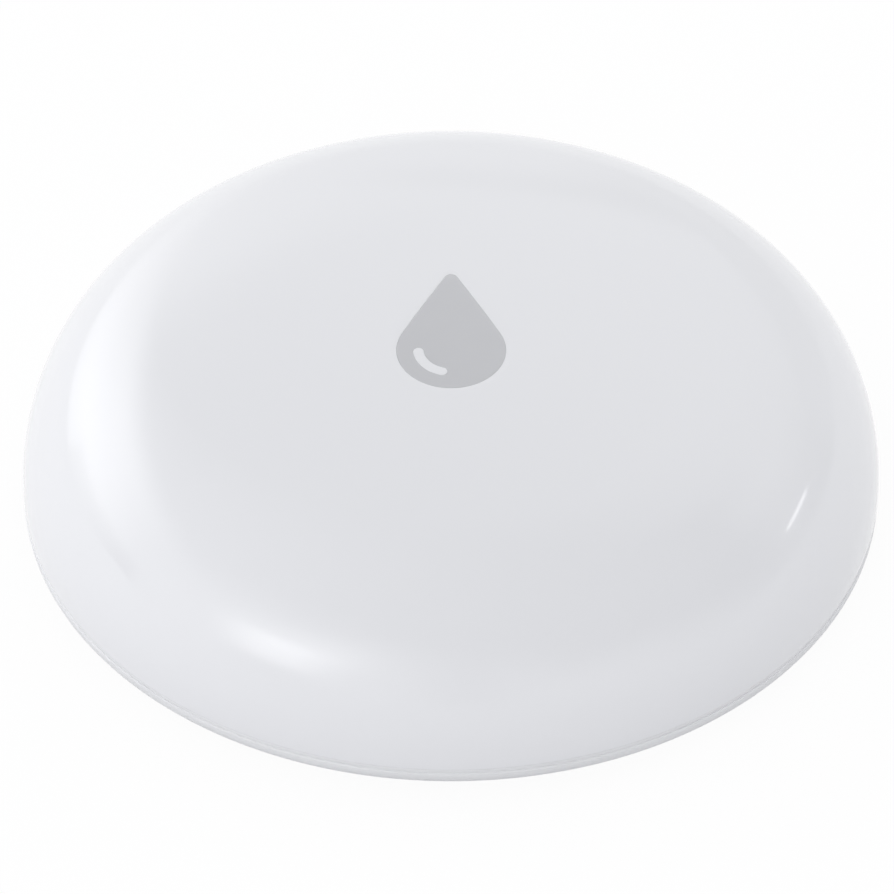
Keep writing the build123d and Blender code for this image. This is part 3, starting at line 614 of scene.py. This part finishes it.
# The mark's outline is a bulb and a smaller tip, joined by straight sides that touch both. Half-way
# round a rounded edge, its surface lies 0.3 of its radius inside either face.
mark_length = 9.5
mark_middle = -2.9
mark_depth = 0.6
bulb_radius = 3.05
tip_radius = 0.35
bulb_y = mark_middle - mark_length / 2 + bulb_radius
tip_reach = mark_length - bulb_radius - tip_radius
side_turn = np.arccos((bulb_radius - tip_radius) / tip_reach)
half_way_share = 0.3
edge_round = 0.02
edge_half_way = half_way_share * edge_round
bulb_points, tip_points, side_points = 200, 48, 90


def drop_outline(grow):
    """Points round the drop, grown outward. They are a circle's, at its turn from +Y, whose middle and
    radius go from the bulb's to the tip's: the turn stands still along the sides, and the circle at the
    bulb and tip."""
    bulb = np.linspace(side_turn, 2 * np.pi - side_turn, bulb_points, endpoint=False)
    tip = np.linspace(2 * np.pi - side_turn, 2 * np.pi + side_turn, tip_points, endpoint=False)
    side = np.linspace(0, 1, side_points, endpoint=False)
    turn = np.concatenate((bulb, side * 0 + 2 * np.pi - side_turn, tip, side * 0 + side_turn))
    share = np.concatenate((bulb * 0, side, tip * 0 + 1, 1 - side))
    radius = bulb_radius + share * (tip_radius - bulb_radius) + grow
    return np.stack((radius * np.sin(turn), bulb_y + share * tip_reach + radius * np.cos(turn)), axis=-1)


def ring(radius, centre_y=0.0, seen_from_y=0.0):
    """Circle with one point for each of the drop's, at its angle as seen from a place on the mid line."""
    outline = drop_outline(0) - (0, seen_from_y)
    turn = np.arctan2(outline[:, 0], outline[:, 1])
    return np.stack((radius * np.sin(turn), centre_y + radius * np.cos(turn)), axis=-1)


def between(start, end, count):
    """Outlines that pass evenly from one to the other."""
    share = np.linspace(0, 1, count)[:, None, None]
    return start + share * (end - start)


def on_ball(outlines, drop=0.0):
    """Lifts outlines onto the crown's ball, an even depth below its face: the height is the ball's middle
    plus the root of its radius squared less the distance from the axis squared."""
    outlines = outlines.reshape(-1, outlines.shape[-2], 2)
    height = crown_centre + np.sqrt((crown_radius - drop) ** 2 - (outlines**2).sum(axis=-1, keepdims=True))
    return np.concatenate((outlines, height), axis=-1)


def at_height(outlines, heights):
    """Lays each outline level at its own height."""
    level = np.broadcast_to(np.array(heights, dtype=float)[:, None, None], (*outlines.shape[:2], 1))
    return np.concatenate((outlines, level), axis=-1)


def rings(radii, heights):
    """Level circles about the axis, each at its own radius and height."""
    return at_height(np.array(radii)[:, None, None] * ring(1.0, seen_from_y=mark_middle), heights)


# The shell's rows run outward over the crown and round the rim, back under the crown to the boss, up its
# bore and out over the floor of the drop, where the last row meets the first.
shoulder_end = np.pi / 2 - np.arcsin(rim_round / (shoulder_radius - rim_round))
round_reach = shoulder_reach + np.sqrt((shoulder_radius - rim_round) ** 2 - rim_round**2)
lean = np.linspace(shoulder_lean, shoulder_end, 48)
inner_lean = np.linspace(np.pi / 2, shoulder_lean, 30)
round_lean = np.linspace(shoulder_end, np.pi, 9)[1:]
guide_radius = 1.2
guide_gap = 0.03
boss_wall = 0.8
boss_drop = 1.8
boss_bottom = body_height - wall - boss_drop
bore_radius = guide_radius + guide_gap
crown_reach = 12.0
middle_ring = ring(crown_reach, seen_from_y=mark_middle)
boss = ring(bore_radius + boss_wall, bulb_y, seen_from_y=bulb_y)
bore = ring(bore_radius, bulb_y, seen_from_y=bulb_y)
crown_edge = crown_radius * np.sin(shoulder_lean)
inner_crown_edge = (crown_radius - wall) * np.sin(shoulder_lean)
inner_radius = shoulder_radius - wall
shell = np.concatenate((
    on_ball(between(drop_outline(edge_round), middle_ring, 20)),
    on_ball(between(middle_ring, ring(crown_edge, seen_from_y=mark_middle), 6))[1:],
    rings(shoulder_reach + shoulder_radius * np.sin(lean), rim_z + shoulder_radius * np.cos(lean))[1:],
    rings(round_reach + rim_round * np.sin(round_lean), rim_z + rim_round + rim_round * np.cos(round_lean)),
    rings(shoulder_reach + inner_radius * np.sin(inner_lean), rim_z + inner_radius * np.cos(inner_lean)),
    on_ball(between(ring(inner_crown_edge, seen_from_y=mark_middle), middle_ring, 5), wall)[1:],
    on_ball(between(middle_ring, boss, 12), wall)[1:],
    at_height(np.stack((boss, bore)), (boss_bottom, boss_bottom)),
    on_ball(between(bore, drop_outline(0), 7), mark_depth),
    on_ball(drop_outline(0), edge_round),
    on_ball(drop_outline(edge_half_way), edge_half_way),
))


def prism(outline, low, high):
    """Upright solid between two heights. Its first and last rows are its middle, which closes its ends."""
    middle = outline * 0 + outline.mean(axis=0)
    return at_height(np.stack((middle, outline, outline, middle)), (low, low, high, high))


def swept(profile, middle_degrees, sweep_degrees, steps=9):
    """A profile of (radius, height) carried part of the way round the axis, and closed at both ends."""
    ends = profile * 0 + profile.mean(axis=0)
    rows = np.stack((ends, *[profile] * steps, ends))
    share = np.concatenate(([0], np.linspace(0, 1, steps), [1]))
    angle = np.radians(middle_degrees + sweep_degrees * (share - 0.5))[:, None]
    return np.stack((rows[..., 0] * np.cos(angle), rows[..., 0] * np.sin(angle), rows[..., 1]), axis=-1)


# The post stands on the switch's plunger. It and its ribs run up into the shell's wall, as do the barbs
# at their outer side.
in_wall = 13.9
post_radius = 1.6
post_bottom = box("switch_plunger")[1][2]
post_round = 0.1
post_half_way = half_way_share * post_round
post_profile = (
    (0, post_bottom), (post_radius - post_round, post_bottom),
    (post_radius - post_half_way, post_bottom + post_half_way), (post_radius, post_bottom + post_round),
    (post_radius, in_wall), (0, in_wall),
)
rib_half_span = 4.5
rib_half_thickness = 0.4
rib_round = 0.1
rib_rise = 0.6
rib_bottom = post_bottom + rib_rise
rib_corners = np.array(((-1, -1), (1, -1), (1, 1), (-1, 1)))
ribs = [
    prism(rounded(rib_corners * size, (rib_round,) * 4) + (0, switch_y), rib_bottom, in_wall)
    for size in ((rib_half_span, rib_half_thickness), (rib_half_thickness, rib_half_span))
]
barb_outer, barb_heel, barb_tip = 24.15, 23.23, 21.77
barb_bottom, barb_slope_end, barb_top = 3.3, 3.83, 4.1
barb_sweep = 11.0
barb_profile = np.array((
    (barb_outer, barb_bottom), (barb_outer, barb_top), (barb_tip, barb_top), (barb_tip, barb_slope_end),
    (barb_heel, barb_bottom),
))
barbs = [swept(barb_profile, middle, barb_sweep) for middle in (45, 135, 225, 315)]

# The small curved gleam inside the drop is an island of the shell that comes up through the mark. It
# starts a tenth of a millimetre below the floor of the drop.
gleam_radius_share = 0.6
gleam_radius = gleam_radius_share * bulb_radius
gleam_half_width = 0.3
gleam_start, gleam_end = np.radians((186.0, 254.0))
island_root = 0.1
island_depth = mark_depth + island_root


def gleam_outline(grow):
    """Points round the gleam, a band along an arc with round ends: a place on the arc, plus half the
    width in a direction that points out along the arc, swings round one end, points in on the way back,
    and swings again."""
    along, swing = np.linspace(gleam_start, gleam_end, 40), np.linspace(0, np.pi, 24)[1:-1]
    place = np.concatenate((along, swing * 0 + gleam_end, along[::-1], swing * 0 + gleam_start))
    out = np.concatenate((along, gleam_end + swing, along[::-1] + np.pi, gleam_start + np.pi + swing))
    half = gleam_half_width + grow
    x = gleam_radius * np.cos(place) + half * np.cos(out)
    y = bulb_y + gleam_radius * np.sin(place) + half * np.sin(out)
    return np.stack((x, y), axis=-1)


island = np.concatenate((
    on_ball(np.stack((gleam_outline(-gleam_half_width), gleam_outline(0))), island_depth),
    on_ball(gleam_outline(0), edge_round),
    on_ball(gleam_outline(-edge_half_way), edge_half_way),
    on_ball(between(gleam_outline(-edge_round), gleam_outline(-gleam_half_width), 4)),
))
cover_surfaces = [surface(shell, closed=True), surface(turned(post_profile, centre=(0, switch_y)))]
cover_surfaces += [surface(grid) for grid in (*ribs, *barbs, island)]
cover = make_piece("cover", gloss_abs, "gloss_shell", *cover_surfaces)
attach(cover, "cover")
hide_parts("top_cover")

# Drop mark
# A plain drop in light grey ABS, moulded flush into the crown in a second shot, so that only a hairline
# parts it from the shell. It is as glossy as the shell, and the flow of the melt leaves its grey faintly
# clouded.
grey_abs, tree, place = new_material("grey_moulded_abs")
clouds = add_node(tree, "TexNoise", {"Vector": place, "Scale": repeats(1.5), "Detail": 2})
tint = add_node(
    tree, "Mix", {"Factor": clouds, "A": linear("#C6C7CB"), "B": linear("#C8C9CD")}, data_type="RGBA"
)
gloss = add_node(tree, "MapRange", {"Value": clouds, "To Min": 0.07, "To Max": 0.11})
shader = add_node(tree, "BsdfPrincipled", {"Base Color": tint, "Roughness": gloss, "IOR": 1.54})
dress(grey_abs, shader)

# The spot is the middle of the gleam's band, which its bow draws in from the arc.
gleam_bow = 0.06
gleam_turn = (gleam_start + gleam_end) / 2
gleam_spot = np.array((np.cos(gleam_turn), np.sin(gleam_turn))) * (gleam_radius - gleam_bow) + (0, bulb_y)


def gleam_facing(grow):
    """The gleam's outline with one point for each of the drop's, at its angle as seen from the spot."""
    goal, have = drop_outline(0) - gleam_spot, gleam_outline(grow) - gleam_spot
    goal_angle, have_angle = np.arctan2(goal[:, 1], goal[:, 0]), np.arctan2(have[:, 1], have[:, 0])
    found = [np.interp(goal_angle, have_angle, values, period=2 * np.pi) for values in have.T]
    return np.stack(found, axis=-1) + gleam_spot


inlay = np.concatenate((
    on_ball(gleam_facing(0), mark_depth),
    on_ball(gleam_facing(0), edge_round),
    on_ball(gleam_facing(edge_half_way), edge_half_way),
    on_ball(between(gleam_facing(edge_round), drop_outline(-edge_round), 14)),
    on_ball(drop_outline(-edge_half_way), edge_half_way),
    on_ball(drop_outline(0), edge_round),
    on_ball(drop_outline(0), mark_depth),
))
mark = make_piece("mark", grey_abs, "grey_mark", surface(inlay, closed=True))
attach(mark, "cover")
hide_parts("drop_mark")

# Light guide
# A pipe of clear acrylic from over the lamp up to the mark, polished so that the light stays inside it.
acrylic, tree, _ = new_material("polished_clear_acrylic")
shader = add_node(
    tree, "BsdfPrincipled",
    {"Base Color": linear("#F6F9FA"), "Transmission Weight": 1.0, "Roughness": 0.04, "IOR": 1.49},
)
dress(acrylic, shader, "light_guide")

# Coin cell
# A cup and a cap drawn from nickel plated stainless sheet. The cup was polished spinning, which leaves
# rings about its axis, drawn 0.3 mm apart, coarser than real, so that they show.
spun_nickel, tree, place = new_material("spun_nickel_plated_steel")
spin_rings = add_node(
    tree, "TexWave", {"Vector": place, "Scale": wave_repeat * repeats(0.3), "Distortion": 1.5, "Detail": 2},
    wave_type="RINGS", rings_direction="Z",
).outputs["Fac"]
gloss = add_node(tree, "MapRange", {"Value": spin_rings, "To Min": 0.23, "To Max": 0.28})
shader = add_node(
    tree, "BsdfPrincipled", {"Base Color": linear("#CFCCC7"), "Metallic": 1.0, "Roughness": gloss}
)
dress(spun_nickel, shader, "battery_can", "battery_cap")

# Between them is a milky ring of polypropylene, whose milkiness comes in clouds of half a millimetre.
polypropylene, tree, place = new_material("moulded_milky_polypropylene")
milk = add_node(tree, "TexNoise", {"Vector": place, "Scale": repeats(0.5), "Detail": 3})
tint = add_node(
    tree, "Mix", {"Factor": milk, "A": linear("#DEDFDB"), "B": linear("#E6E7E4")}, data_type="RGBA"
)
shader = add_node(
    tree, "BsdfPrincipled", {"Base Color": tint, "Transmission Weight": 0.25, "Roughness": 0.4, "IOR": 1.49}
)
dress(polypropylene, shader, "battery_gasket")

# Battery lid
# The twist-lock lid comes out of the same mould and material as the base housing, so it has the same
# satin face.
nodes["battery_cover"].data.materials.clear()
nodes["battery_cover"].data.materials.append(satin_abs)
